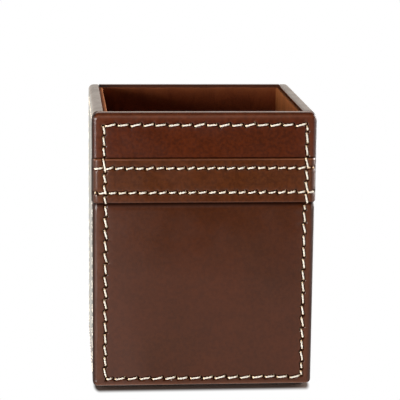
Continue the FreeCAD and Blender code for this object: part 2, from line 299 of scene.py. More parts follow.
def make_piece(name, points, faces, smooth_angle=SMOOTH_ANGLE):
    """A mesh object riding on the cup, with its faces turned outward."""
    mesh = bpy.data.meshes.new(name)
    mesh.from_pydata([tuple(point) for point in points], [], faces)
    work = bmesh.new()
    work.from_mesh(mesh)
    bmesh.ops.recalc_face_normals(work, faces=work.faces)
    work.to_mesh(mesh)
    work.free()
    mesh.polygons.foreach_set("use_smooth", [True] * len(mesh.polygons))
    mesh.set_sharp_from_angle(angle=radians(smooth_angle))
    piece = new_object(name, mesh)
    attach(piece, "root")
    return piece


def add_shades(piece, **shades):
    """Values at a mesh's points for its material, then 0."""
    for name, values in shades.items():
        every = np.zeros(len(piece.data.vertices), np.float32)
        every[:np.size(values)] = np.ravel(values)
        piece.data.attributes.new(name, "FLOAT", "POINT").data.foreach_set("value", every)


def set_material(piece, material):
    piece.data.materials.clear()
    piece.data.materials.append(material)


def finish_piece(piece, material, node):
    """Give a piece its material and the node it replaces."""
    set_material(piece, material)
    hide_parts(node)


def stations(low, high, step):
    """Evenly spaced values from low to high, about a step apart."""
    return np.linspace(low, high, max(2, int(round((high - low) / step)) + 1))


def pairs(xs, zs):
    """Every pair of an x and a z."""
    grid_x, grid_z = np.meshgrid(xs, zs)
    return np.column_stack([grid_x.ravel(), grid_z.ravel()])


def tube_faces(rings, around, first=0):
    """Faces of a tube whose rings of points follow one another, and its end caps."""
    last = first + (rings - 1) * around
    faces = []
    for base in range(first, last, around):
        for number in range(around):
            after = (number + 1) % around
            faces.append([base + number, base + after, base + around + after, base + around + number])
    return faces + [list(range(first, first + around)), list(range(last, last + around))]


# ---- Leather covers ----

EDGE_STEP = 1.1
COARSE_STEP = 2.3
FINE_ALONG = 0.26
FINE_ACROSS = 0.18
FINE_REACH = 1.26
FINE_MARGIN = OUTER_ROUND + 0.2
FINE_INSIDE = 0.05
STRIP_GAP = 0.1
COARSE_GAP = 0.5
COARSE_MARGIN = RIM_CORNER + 0.4
OUTER_ARC_POINTS = 10
INNER_ARC_POINTS = 9
CORNERS = {"foot": FOOT_CORNER, "top": RIM_CORNER}
# Sides counter-clockwise: the axis of each one's limit and its points' direction.
SIDES = {"foot": (1, 1), "right": (0, 1), "top": (1, -1), "left": (0, -1)}
# Painted shadow under the band and a painted dark line over it: how far they reach. The leather also dips
# under the band.
CREASE_AND_SHADOW_BELOW = 2.1
CREASE_AND_SHADOW_ABOVE = 0.5
CREASE_DIP = 0.3
# Lines of points by the band, for the lower cover and the upper one.
LEVELS = {
    "top": [BAND_FOOT + step for step in (0.6, 0.2, -0.1, -0.4, -0.8, -1.2, -1.6, -2.0)],
    "foot": [BAND_TOP + step for step in (-0.4, -0.1, 0.1, 0.3, 0.5, 0.8)],
    None: [],
}
# Where the edges' painted highlight, with some wear, starts, peaks and ends, as runs round an edge, and its
# strength.
SIDE_WEAR_AND_HIGHLIGHT = (-4.5, -0.3, 1.4, 0.12)
RIM_WEAR_AND_HIGHLIGHT = (-1.4, 0.7, 2.4, 0.24)
FOOT_WEAR_AND_HIGHLIGHT = (0.2, 2.0, 3.4, 0.62)
# Where the front rim's painted highlight and wear, and the turned edges' painted shade and dye, start and
# are full, and their strengths.
RIM_TOP_WEAR_AND_HIGHLIGHT = (2.4, 2.9, 0.4)
DYED_AND_SHADED_EDGE = (0.1, 2.3, 0.85)
SWELL = 0.07
SWELL_START = 2.5


def edge_rings(sheet):
    """Runs at which the rolled edge has a line of points."""
    outer_arc = OUTER_ROUND * np.linspace(0, QUARTER, OUTER_ARC_POINTS)
    side_end = outer_arc[-1] + sheet.side_flat
    inner_arc = side_end + INNER_ROUND * np.linspace(0, QUARTER, INNER_ARC_POINTS)
    return np.concatenate([outer_arc, [(outer_arc[-1] + side_end) / 2], inner_arc])


def edge_points(sheet, levels):
    """Lines of points along the sheet's rolled edges and round its corners."""
    rings = edge_rings(sheet)
    lines = {}
    for side, outward in OUTWARD.items():
        start = sheet.inset(side, OUTER_ROUND)
        lines[side] = start + outward * rings if side in sheet.free else np.array([start])
    clouds = []
    for end, corner in CORNERS.items():
        for side in ("left", "right"):
            if side in sheet.free and end in sheet.free:
                runs = np.concatenate([-np.linspace(corner - OUTER_ROUND, 0, 3)[:-1], rings])
                clouds.append(pairs(*(sheet.inset(edge, OUTER_ROUND) + OUTWARD[edge] * runs
                                      for edge in (side, end))))
        core = corner if end in sheet.free else OUTER_ROUND
        xs = stations(sheet.inset("left", core), sheet.inset("right", core), EDGE_STEP)
        clouds.append(pairs(xs, lines[end]))
    ends = [sheet.inset(end, corner if "left" in sheet.free or "right" in sheet.free else OUTER_ROUND)
            for end, corner in CORNERS.items()]
    zs = np.concatenate([stations(*ends, EDGE_STEP), levels])
    return clouds + [pairs(lines["left"], zs), pairs(lines["right"], zs)]


def row_points(rows):
    """Fine strips of points along rows of stitches."""
    across = np.arange(-FINE_REACH, FINE_REACH + 0.01, FINE_ACROSS)
    strips = []
    for number, row in enumerate(rows):
        start, end = np.reshape(row, (2, 2))
        length = np.linalg.norm(end - start)
        ahead = (end - start) / length
        strip = pairs(stations(-FINE_REACH, length + FINE_REACH, FINE_ALONG), across)
        strip = start + np.outer(strip[:, 0], ahead) + np.outer(strip[:, 1], [-ahead[1], ahead[0]])
        for other in rows[:number]:
            strip = strip[line_distance(*strip.T, other) > FINE_REACH * sqrt(2) + STRIP_GAP]
        strips.append(strip)
    return np.vstack(strips)


def sheet_points(sheet, rows, levels):
    """The unrolled sheet's points: fine by stitches and edges, in lines at the levels, else coarse."""
    (low_x, low_z), (high_x, high_z) = sheet.insets(COARSE_MARGIN, COARSE_STEP)
    coarse = np.vstack([
        pairs(stations(low_x, high_x, COARSE_STEP), stations(low_z, high_z, COARSE_STEP)),
        pairs(stations(low_x, high_x, EDGE_STEP), levels),
    ])
    for row in rows:
        coarse = coarse[line_distance(*coarse.T, row) > FINE_REACH + COARSE_GAP]
    fine = row_points(rows)
    low, high = sheet.insets(FINE_MARGIN, FINE_INSIDE)
    keep = ((fine > low) & (fine < high)).all(axis=1)
    points = np.vstack([*edge_points(sheet, levels), coarse, fine[keep]])
    return points[np.unique(np.round(points, 3), axis=0, return_index=True)[1]]


def triangulate(points):
    """Delaunay triangles over unrolled points."""
    made = delaunay_2d_cdt([Vector(point) for point in points.tolist()], [], [], 0, 1e-5)
    return np.array([tuple(corner) for corner in made[0]]), [list(face) for face in made[2]]


def border_chain(points, sheet, side):
    """Indices of the points on one side of the sheet, counter-clockwise."""
    axis, order = SIDES[side]
    limit = sheet.inset(side, OUTER_ROUND - sheet.wrap)
    found = np.flatnonzero(np.abs(points[:, axis] - limit) < 1e-4)
    return [int(index) for index in found[np.argsort(points[found, 1 - axis] * order)]]


def grow(run, start, full, most=1):
    """A value that grows evenly from 0 at start to most at full."""
    return most * np.clip((run - start) / (full - start), 0, 1)


def edge_wear_and_highlight(run, start, peak, end, most):
    """How much painted highlight and wear the leather has by the run round an edge."""
    rise = grow(run, start, peak)
    return most * rise * rise * grow(run, end, peak)


def band_shadow_and_crease(z):
    """0 to 1 by the band's lower and upper edge: painted shadow under the band, which also sets how far the
    leather dips there, and a painted dark line over it.
    """
    below = np.where(z < BAND_FOOT + CREASE_AND_SHADOW_ABOVE, np.clip(1 - (BAND_FOOT - z) / CREASE_AND_SHADOW_BELOW, 0, 1), 0)
    above = np.where(z > BAND_TOP - CREASE_AND_SHADOW_ABOVE, np.clip(1 - (z - BAND_TOP) / CREASE_AND_SHADOW_ABOVE, 0, 1), 0)
    return below, above


def turned_in(sheet, board_node, split, chains, first):
    """Points and faces of a cover's turned-in part, round its board."""
    reach_x, (board_out, board_in), reach_z = sheet.wall.span(board_node)
    edges = {}
    for (side, outward), reach in zip(OUTWARD.items(), (*reach_x, *reach_z)):
        held = outward * min(outward * reach, outward * getattr(sheet, side))
        edges[side] = (held, sheet.inset(side, TURN_IN, TURN_IN))
    if split:
        edges[split] = (getattr(sheet, split),) * 2
    points = [(edges[end_x][ring], level, edges[end_z][ring])
              for ring, level in ((1, sheet.inner), (1, board_in), (0, board_in), (0, board_out))
              for end_x, end_z in (("left", "foot"), ("right", "foot"), ("right", "top"), ("left", "top"))]
    mouth, *_, floor = rings = [first + 4 * number for number in range(4)]
    faces = []
    for number, (side, chain) in enumerate(chains.items()):
        after = (number + 1) % 4
        if side == split:
            stair = [ring + after for ring in rings] + [ring + number for ring in rings[::-1]]
            faces.append(chain + stair)
            continue
        if side not in sheet.free:
            faces.append(chain)
            chain = [chain[0], chain[-1]]
        faces.append(chain + [mouth + after, mouth + number])
        for outer, inner in zip(rings, rings[1:]):
            faces.append([outer + number, outer + after, inner + after, inner + number])
    return points, faces + [list(range(floor, floor + 4))]


def build_cover(name, sheet, board_node, stitches, rows, material, split=None):
    """A leather cover as one closed skin round its board. split is the side that meets another cover."""
    points, faces = triangulate(sheet_points(sheet, rows, LEVELS[split]))
    x, z = points.T
    (run_x, run_z), (_, sign_z) = sheet.runs(x, z)
    run = np.maximum(run_x, run_z)
    depth, dark = relief(x, z, stitches)
    # Painted shade of the holes and grooves, on the face only.
    dark = dark * (run < 0)
    swell = undulation(x, z, SWELL, len(name)) * np.clip(-run / SWELL_START, 0, 1)
    lift = -depth * (run < 0) + swell
    rim_wear_and_highlight = edge_wear_and_highlight(run_z, *RIM_WEAR_AND_HIGHLIGHT)
    dyed = np.zeros(len(x))
    if split:
        # Painted shadow under the band and a painted dark line over it.
        below, above = band_shadow_and_crease(z)
        lift -= CREASE_DIP * below
        dark = np.maximum(dark, np.maximum(below, above))
        # Painted shade along the turned edges, darkest where they turn away, partly edge dye.
        dyed = grow(run_x, *DYED_AND_SHADED_EDGE)
        # Painted highlight on the front rim's top, with some wear.
        rim_wear_and_highlight = np.maximum(rim_wear_and_highlight, grow(run_z, *RIM_TOP_WEAR_AND_HIGHLIGHT))
    # Paler along the edges, rim and foot: painted highlight, with some wear.
    end_wear_and_highlight = np.where(sign_z > 0, rim_wear_and_highlight, edge_wear_and_highlight(run_z, *FOOT_WEAR_AND_HIGHLIGHT))
    worn = np.maximum(edge_wear_and_highlight(run_x, *SIDE_WEAR_AND_HIGHLIGHT), end_wear_and_highlight)
    chains = {side: border_chain(points, sheet, side) for side in SIDES}
    behind, closing = turned_in(sheet, board_node, split, chains, len(points))
    placed = np.vstack([sheet.place(x, z, lift), behind])
    piece = make_piece(name, sheet.wall.to_cup(placed), faces + closing)
    # The material's hole value is painted shade: needle holes, stitch grooves and, on the front, the band's
    # edges.
    add_shades(piece, hole=dark, dyed=dyed, worn=worn)
    finish_piece(piece, material, sheet.node)


# ---- Threads ----

THREAD_RADIUS = 0.4
THREAD_SPREAD = (0.93, 1.05)
THREAD_RINGS = 24
THREAD_POINTS = 10
# The rings' spacing: shares of one that crowds towards the ends and of an even one.
RING_CROWDING = (0.55, 0.45)
THREAD_RISE = -0.05
SIDE_THREAD_RISE = -0.22
THREAD_ARCH = 0.05
THREAD_DIVE = 0.62
DIVE_REACH = 0.3
THREAD_BOW = 0.03
PLY_TURN = 1.1
PLY_WAIST = 0.74
# Painted shade on the thread: how much falls on its flanks, and how far it reaches from the holes.
FLANK_SHADE = 0.7
HOLE_SHADE_REACH = 0.45


def taut(ground):
    """The height of a thread drawn tight over the ground."""
    hull = []
    for index, height in enumerate(ground):
        while len(hull) > 1:
            (i, a), (j, b) = hull[-2:]
            if (b - a) * (index - i) > (height - a) * (j - i):
                break
            hull.pop()
        hull.append((index, height))
    return np.interp(np.arange(len(ground)), *zip(*hull))


def build_thread(name, node, sheet, stitches, ground, rise=THREAD_RISE):
    """Two-ply thread: each stitch rises out of one hole and goes down the next."""
    crowded, even = RING_CROWDING
    share = crowded * ((1 - np.cos(np.linspace(0, pi, THREAD_RINGS))) / 2)
    share = share + even * np.linspace(0, 1, THREAD_RINGS)
    arch = np.sin(share * pi)
    angles = np.arange(THREAD_POINTS) * 2 * pi / THREAD_POINTS
    flank_shade = FLANK_SHADE * np.clip(1 - np.sin(angles), 0, 1)
    points, faces, low = [], [], []
    for ax, az, bx, bz in stitches:
        length = hypot(bx - ax, bz - az)
        side_x, side_z = -(bz - az) / length, (bx - ax) / length
        bow = rng.normal(0, THREAD_BOW) * arch
        line_x = ax + (bx - ax) * share + side_x * bow
        line_z = az + (bz - az) * share + side_z * bow
        to_end = np.minimum(share, 1 - share) * length
        height = taut(ground(line_x, line_z)) + rise
        height += THREAD_ARCH * arch - THREAD_DIVE * bell(to_end, DIVE_REACH)
        turn = share[:, None] * length * pi / PLY_TURN + rng.uniform(0, pi)
        radius = THREAD_RADIUS * rng.uniform(*THREAD_SPREAD)
        radii = radius * np.maximum(np.abs(np.cos(angles[None, :] - turn)), PLY_WAIST)
        sideways = radii * np.cos(angles)
        upward = radii * np.sin(angles)
        ring_x = (line_x[:, None] + side_x * sideways).ravel()
        ring_z = (line_z[:, None] + side_z * sideways).ravel()
        faces += tube_faces(THREAD_RINGS, THREAD_POINTS, THREAD_RINGS * THREAD_POINTS * len(points))
        points.append(sheet.place(ring_x, ring_z, (height[:, None] + upward).ravel()))
        low.append(np.maximum(flank_shade[None, :], bell(to_end[:, None], HOLE_SHADE_REACH)).ravel())
    piece = make_piece(name, sheet.wall.to_cup(np.vstack(points)), faces, THREAD_ANGLE)
    add_shades(piece, low=low)
    finish_piece(piece, THREAD, node)


# ---- Materials ----

WHITE = (1, 1, 1, 1)


def linear(red, green, blue):
    """A screen's colour, from 0 to 255, as a linear one with alpha."""
    values = [value / 255 for value in (red, green, blue)]
    return tuple(v / 12.92 if v <= 0.04045 else ((v + 0.055) / 1.055) ** 2.4 for v in values) + (1.0,)


class Nodes:
    """A node tree, with short ways to add and join nodes."""

    def __init__(self, owner, place="Object"):
        owner.use_nodes = True
        self.tree = owner.node_tree
        self.place = self.node("TexCoord")[place]

    def set(self, socket, value):
        """Join an output to a socket, or set its value. A colour of three parts is a screen's."""
        if isinstance(value, bpy.types.NodeSocket):
            self.tree.links.new(value, socket)
        elif socket.type == "RGBA" and len(value) == 3:
            socket.default_value = linear(*value)
        else:
            socket.default_value = value

    def node(self, kind, inputs=(), **settings):
        """The outputs of a new node. Its inputs are given by name or in order."""
        made = self.tree.nodes.new("ShaderNode" + kind)
        for setting, value in settings.items():
            setattr(made, setting, value)
        for socket, value in inputs.items() if isinstance(inputs, dict) else enumerate(inputs):
            self.set(made.inputs[socket], value)
        return made.outputs

    def axes(self):
        """The parts of the texture coordinate."""
        return self.node("SeparateXYZ", (self.place,))

    def ray(self, *kinds):
        """1 for rays of any of these kinds."""
        path = self.node("LightPath")
        found = path[f"Is {kinds[0]} Ray"]
        for kind in kinds[1:]:
            found = self.math("MAXIMUM", found, path[f"Is {kind} Ray"])
        return found

    def math(self, operation, *values):
        return self.node("Math", values, operation=operation)[0]

    def ramp(self, value, low, high, to_low=0.0, to_high=1.0):
        """A value mapped smoothly from one range to another."""
        inputs = (value, low, high, to_low, to_high)
        return self.node("MapRange", inputs, interpolation_type="SMOOTHSTEP")["Result"]

    def mix(self, factor, first, second, blend="MIX"):
        inputs = {0: factor, 6: first, 7: second}
        return self.node("Mix", inputs, data_type="RGBA", blend_type=blend)[2]

    def shaded(self, colour, value):
        """A colour made lighter or darker by a value."""
        grey = self.node("CombineColor", (value, value, value))[0]
        return self.mix(1.0, colour, grey, "MULTIPLY")

    def attribute(self, name):
        """A value that a mesh's points carry."""
        return self.node("Attribute", attribute_name=name)["Fac"]

    def stretch(self, x, y, z):
        """Texture space stretched along the axes."""
        return self.node("Mapping", {"Vector": self.place, "Scale": (x, y, z)})["Vector"]

    def noise(self, size, detail=3.0, rough=0.55, place=None, distortion=0.0):
        """Noise whose features are about size millimetres."""
        return self.node("TexNoise", {
            "Vector": place or self.place, "Scale": 1 / (size * MM), "Detail": detail,
            "Roughness": rough, "Distortion": distortion})["Fac"]

    def pores(self, size):
        """Distance from scattered points about size millimetres apart."""
        return self.node("TexVoronoi", {
            "Vector": self.place, "Scale": 1 / (size * MM), "Randomness": 1.0})["Distance"]

    def bump(self, height, millimetres, below=None, strength=1.0):
        """A bump of a height in millimetres, laid over another if given."""
        inputs = {"Height": height, "Distance": millimetres * MM, "Strength": strength}
        if below is not None:
            inputs["Normal"] = below
        return self.node("Bump", inputs)["Normal"]


class Look(Nodes):
    """A piece's material under construction."""

    def __init__(self, name, **constants):
        self.material = bpy.data.materials.new(name)
        super().__init__(self.material)
        self.surface = self.tree.nodes["Principled BSDF"].inputs
        for socket, value in constants.items():
            self.set(self.surface[socket.replace("_", " ")], value)

    def done(self, colour, roughness, normal):
        for socket, value in {"Base Color": colour, "Roughness": roughness, "Normal": normal}.items():
            self.set(self.surface[socket], value)
        return self.material


# Colour of the edges' painted highlight, with some wear.
WORN_AND_LIT_LEATHER = (160, 102, 72)
# Colour and gloss of the painted shade in holes, grooves, creases and turned edges, partly edge dye.
SHADE_AND_DYE_LEATHER = (26, 8, 3)
SHADE_AND_DYE_GLOSS = (60, 40, 30)
# Colour of the suede's painted light near its top, with some rubbed nap.
RAISED_AND_LIT_SUEDE = (168, 100, 58)
# Colour of the thread's painted shade.
THREAD_IN_SHADE = (250, 214, 166)
LEATHER_GLOSS = 0.2
SHADE_AND_DYE_STRENGTH = 0.97
DYE_ROUGHNESS = 0.35
FIBRE_ROUGHNESS = 0.9
NAP_ROUGHNESS = 0.92
WAX_ROUGHNESS = 0.6


def leather(name, light, dark, mottle):
    """Smooth leather with pores and cloudy dye. It is paler at edges from painted highlight and some wear,
    and darker from painted shade in holes, grooves and creases and at turned edges, partly edge dye.
    """
    look = Look(name, Specular_IOR_Level=0.5)
    clouds = look.noise(26, 4, 0.6)
    speckle = look.noise(1.3, 3, 0.6)
    colour = look.mix(look.ramp(clouds, 0.3, 0.7), dark, light)
    colour = look.shaded(colour, look.ramp(speckle, 0.25, 0.75, 1 - mottle, 1 + 0.9 * mottle))
    patchy = look.ramp(look.noise(3.2, 3, 0.6), 0.25, 0.75, 0.7, 1.25)
    # Paler in patches where the points carry painted highlight and wear.
    worn = look.math("MULTIPLY", look.attribute("worn"), patchy)
    colour = look.mix(worn, colour, WORN_AND_LIT_LEATHER)
    # Painted shade in holes, grooves and creases and at turned edges, partly edge dye: the leather is darker
    # and less glossy there.
    dyed = look.attribute("dyed")
    dark_places = look.math("MAXIMUM", look.attribute("hole"), dyed)
    deep = look.ramp(dark_places, 0.05, 0.9, 0, SHADE_AND_DYE_STRENGTH)
    colour = look.mix(deep, colour, SHADE_AND_DYE_LEATHER)
    look.set(look.surface["Specular Tint"], look.mix(deep, WHITE, SHADE_AND_DYE_GLOSS))
    grain = look.bump(look.ramp(look.pores(0.75), 0.0, 0.35), 0.02, strength=0.35)
    grain = look.bump(look.noise(0.45, 2, 0.5), 0.02, grain, 0.35)
    grain = look.bump(speckle, 0.2 * mottle, grain, 0.8)
    grain = look.bump(look.noise(6.0, 3, 0.5, distortion=0.4), 0.06, grain, 0.35)
    cloudy = look.noise(9.0, 3, 0.5)
    roughness = look.ramp(cloudy, 0.3, 0.7, LEATHER_GLOSS - 0.04, LEATHER_GLOSS + 0.05)
    roughness = look.math("ADD", roughness, look.math("MULTIPLY", dyed, DYE_ROUGHNESS))
    return look.done(colour, roughness, grain)


def suede(name, light, dark):
    """Short nap that lies in brushed patches, with a soft sheen, paler near its top edge from painted light
    and some rubbed nap.
    """
    look = Look(name, Specular_IOR_Level=0.15, Sheen_Weight=0.25, Sheen_Roughness=0.6,
                Sheen_Tint=light)
    brushed = look.noise(7.0, 4, 0.6, look.stretch(1, 1, 0.55), 0.8)
    nap = look.noise(0.5, 2, 0.7)
    colour = look.mix(look.ramp(brushed, 0.32, 0.68), dark, light)
    colour = look.shaded(colour, look.ramp(nap, 0.25, 0.75, 0.8, 1.18))
    # Paler where the points carry painted light and rubbed nap.
    colour = look.mix(look.attribute("worn"), colour, RAISED_AND_LIT_SUEDE)
    normal = look.bump(brushed, 0.25, look.bump(nap, 0.12, strength=0.6), 0.4)
    return look.done(colour, NAP_ROUGHNESS, normal)


def waxed_thread(name, light, dark):
    """Waxed thread, with painted shade on its flanks and by the holes."""
    look = Look(name, Specular_IOR_Level=0.35, Sheen_Weight=0.15, Sheen_Roughness=0.5)
    tone = look.noise(5.0, 3, 0.6)
    fibre = look.noise(0.12, 2, 0.6)
    colour = look.mix(look.ramp(tone, 0.3, 0.7), dark, light)
    colour = look.shaded(colour, look.ramp(fibre, 0.25, 0.75, 0.94, 1.06))
    # Painted shade where the points carry it: flanks and ends by the holes.
    colour = look.mix(look.attribute("low"), colour, THREAD_IN_SHADE)
    return look.done(colour, WAX_ROUGHNESS, look.bump(fibre, 0.03, strength=0.5))


def pressed(name, light, dark, fibre_size):
    """Pressed fibre, as in grey board, card or felt."""
    look = Look(name, Specular_IOR_Level=0.2)
    clumps = look.noise(fibre_size * 6, 4, 0.6)
    fibres = look.noise(fibre_size, 3, 0.7, look.stretch(1.0, 1.6, 1.0))
    colour = look.mix(look.ramp(clumps, 0.3, 0.7), dark, light)
    colour = look.mix(look.ramp(fibres, 0.55, 0.75, 0, 0.35), colour, light)
    return look.done(colour, FIBRE_ROUGHNESS, look.bump(fibres, 0.1, strength=0.5))


LOWER_LEATHER = leather("lower_leather", (77, 35, 13), (69, 31, 9), 0.14)
UPPER_LEATHER = leather("upper_leather", (82, 31, 6), (75, 27, 4), 0.28)
BAND_LEATHER = leather("band_leather", (85, 40, 12), (79, 37, 10), 0.26)
THREAD = waxed_thread("cream_thread", (255, 252, 243), (250, 243, 228))
LINING_SUEDE = suede("lining_suede", (134, 76, 34), (110, 58, 21))
# A shaded copy of the lining suede, darker and redder, for the back wall, which lies in shade.
SHADED_BACK_SUEDE = suede("shaded_back_lining_suede", (104, 46, 18), (84, 33, 10))
BASE_FELT = pressed("base_felt", (38, 27, 21), (24, 16, 12), 0.5)
WALL_BOARD = pressed("wall_board", (150, 142, 130), (126, 118, 106), 0.4)
LINING_CARD = pressed("lining_card", (172, 162, 144), (152, 142, 124), 0.3)


# ---- Side and back walls ----

def build_plain_wall(side, free):
    """A side or back wall: one leather cover with a border row."""
    sheet = Sheet(WALLS[side], side + "_leather", free)
    left, right = sheet.left + BORDER_SIDE, sheet.right - BORDER_SIDE
    foot, top = sheet.foot + BORDER_FOOT, sheet.top - BORDER_RIM
    lines = [(left, top, right, top), (left, foot, right, foot), (left, foot, left, top),
             (right, foot, right, top)]
    stitches = border_rows(lines)
    build_cover(side + "_cover", sheet, side + "_board", stitches, lines, LOWER_LEATHER)
    build_thread(side + "_stitching", side + "_border_thread", sheet, stitches,
                 lambda x, z: 0 * x, SIDE_THREAD_RISE)


# ---- Front wall: two covers that meet under the band ----

LOWER = Sheet(FRONT, "front_lower_leather", ("left", "right", "foot"))
UPPER = Sheet(FRONT, "front_upper_leather", ("left", "right", "top"))
WHOLE = Sheet(FRONT, "front_lower_leather", ("left", "right", "foot", "top"))
WHOLE.top = UPPER.top
BAND_FACE = -FRONT.span("front_band")[1][0]
BAND_END = FRONT.span("front_band")[1][1]
UPPER_LAP = -UPPER.outer
BAND_SLACK = 0.08
BAND_WRAP = UPPER_LAP + BAND_SLACK
BAND_PARING = 2.2

# The border's upright rows, which aren't quite true: x at the top row, the band's upper and lower
# edge, just under the band and at the foot.
LEFT_ROW = [WHOLE.left + inset for inset in (4.2, 4.25, 4.7, 4.9, 4.6)]
RIGHT_ROW = [WHOLE.right - inset for inset in (3.45, 3.4, 3.25, 3.75, 3.7)]
FOOT_ROW = WHOLE.foot + BORDER_FOOT
TOP_ROW = WHOLE.top - BORDER_RIM

# The needle goes through beside the band's edges.
CLEAR_ABOVE = 0.35
CLEAR_BELOW = 0.9
ABOVE_BAND = BAND_TOP + CLEAR_ABOVE
BELOW_BAND = BAND_FOOT - CLEAR_BELOW

# The border's rows by the surface they lie on, and their stretches: stitches and length, or None for
# the rest of the row.
FRONT_BORDER = (
    ("upper", (LEFT_ROW[0], TOP_ROW, RIGHT_ROW[0], TOP_ROW), ((16, None),)),
    ("lower", (LEFT_ROW[4], FOOT_ROW, RIGHT_ROW[4], FOOT_ROW), ((1, 3.2), (15, None))),
    ("upper", (LEFT_ROW[1], ABOVE_BAND, LEFT_ROW[0], TOP_ROW), ((3, None),)),
    ("band", (LEFT_ROW[2], BELOW_BAND, LEFT_ROW[1], ABOVE_BAND), ((3, None), (1, 5.8))),
    ("lower", (LEFT_ROW[4], FOOT_ROW, LEFT_ROW[3], BELOW_BAND), ((15, None),)),
    ("upper", (RIGHT_ROW[1], ABOVE_BAND, RIGHT_ROW[0], TOP_ROW), ((2, None), (1, 2.6))),
    ("band", (RIGHT_ROW[2], BELOW_BAND, RIGHT_ROW[1], ABOVE_BAND), ((4, None),)),
    ("lower", (RIGHT_ROW[4], FOOT_ROW, RIGHT_ROW[3], BELOW_BAND),
     ((1, 2.5), (1, 3.1), (13, None), (1, 2.6))),
)

# The band's rows: level, how much further left their even part starts, and stitches.
UPPER_BAND_ROW = (BAND_TOP - BAND_ROW_TOP, 0.0, (1, 20, 2))
LOWER_BAND_ROW = (BAND_FOOT + BAND_ROW_FOOT, 2.35, (1, 21, 1))
WRAPPED_STITCH = 1.7


def stepped_row(line, steps):
    """A row's stitches, stretch by stretch."""
    start, end = np.reshape(line, (2, 2))
    length = dist(start, end)
    rest = length - sum(reach for count, reach in steps if reach)
    rows = []
    done = 0.0
    for count, reach in steps:
        after = done + (reach or rest)
        rows.append(stitch_row(*(start + (end - start) * at / length for at in (done, after)), count))
        done = after
    return rows


def band_row(level, shift, counts):
    """One row along the band and round its ends."""
    ends = (WHOLE.left + OUTER_ROUND - WRAPPED_STITCH, LEFT_ROW[1] - shift,
            RIGHT_ROW[2], WHOLE.right - OUTER_ROUND + WRAPPED_STITCH)
    return np.vstack([stitch_row((start, level), (end, level), count)
                      for start, end, count in zip(ends, ends[1:], counts)])


def band_full_lift(x):
    """The band's height over the lower leather, pared at its ends."""
    pared = soft_step(WHOLE.runs(x, 0 * x + BAND_FOOT)[0][0] / BAND_PARING)
    return BAND_FACE + (BAND_WRAP - BAND_FACE) * pared


def front_ground(x, z):
    """The height of the front's uppermost layer over the lower leather."""
    base = np.where(z > LOWER.top, UPPER_LAP, 0.0)
    on_band = (z > BAND_FOOT) & (z < BAND_TOP)
    return np.where(on_band, band_full_lift(x), base)


BAND_EDGE_ROUND = 0.72
BAND_ARC_POINTS = 7
BAND_SWELL = 0.05
BAND_SEED = 3
BAND_CLEARANCE = 0.02
# Painted highlight along the band's rounded edges, with some wear, strongest near its ends.
BAND_TOP_WEAR_AND_HIGHLIGHT = 0.28
BAND_CORNER_WEAR_AND_HIGHLIGHT = 0.75
BAND_FOOT_WEAR_AND_HIGHLIGHT = 0.1
# Painted shade at the band's lower edge and at its ends.
BAND_FOOT_SHADE = 0.9
BAND_END_SHADE = (-1.0, 0.3, 0.32)


def band_levels():
    """Levels from below: z, how far the edge has turned to the front, or None where it lies on the
    leather behind, and that leather's height."""
    arc = np.linspace(0, QUARTER, BAND_ARC_POINTS)
    inset = [BAND_EDGE_ROUND * (1 - cos(turn)) for turn in arc]
    flat = stations(BAND_FOOT + BAND_EDGE_ROUND, BAND_TOP - BAND_EDGE_ROUND, FINE_ALONG)[1:-1]
    levels = [(BAND_FOOT, None, 0.0)]
    levels += [(BAND_FOOT + step, turn, 0.0) for step, turn in zip(inset, arc)]
    levels += [(z, QUARTER, 0.0) for z in flat]
    levels += [(BAND_TOP - step, turn, UPPER_LAP) for step, turn in zip(inset[::-1], arc[::-1])]
    return levels + [(BAND_TOP, None, UPPER_LAP)]


def band_edge_look(z, turn, across):
    """Painted shade, and painted highlight with some wear, at the band's rounded edges."""
    if turn >= QUARTER:
        return 0.0, 0.0
    if z > LOWER.top:
        return 0.0, (BAND_TOP_WEAR_AND_HIGHLIGHT + BAND_CORNER_WEAR_AND_HIGHLIGHT * across ** 3) * sin(turn) ** 4
    return BAND_FOOT_SHADE * sqrt(1 - sin(turn)), BAND_FOOT_WEAR_AND_HIGHLIGHT * sin(turn) ** 4


def band_faces(rings, count):
    """Faces between rings that run along the band, and its end caps."""
    faces = []
    for ring in range(rings):
        after = (ring + 1) % rings
        for number in range(count - 1):
            faces.append([ring * count + number, ring * count + number + 1,
                          after * count + number + 1, after * count + number])
    return faces + [[ring * count + end for ring in range(rings)] for end in (0, count - 1)]


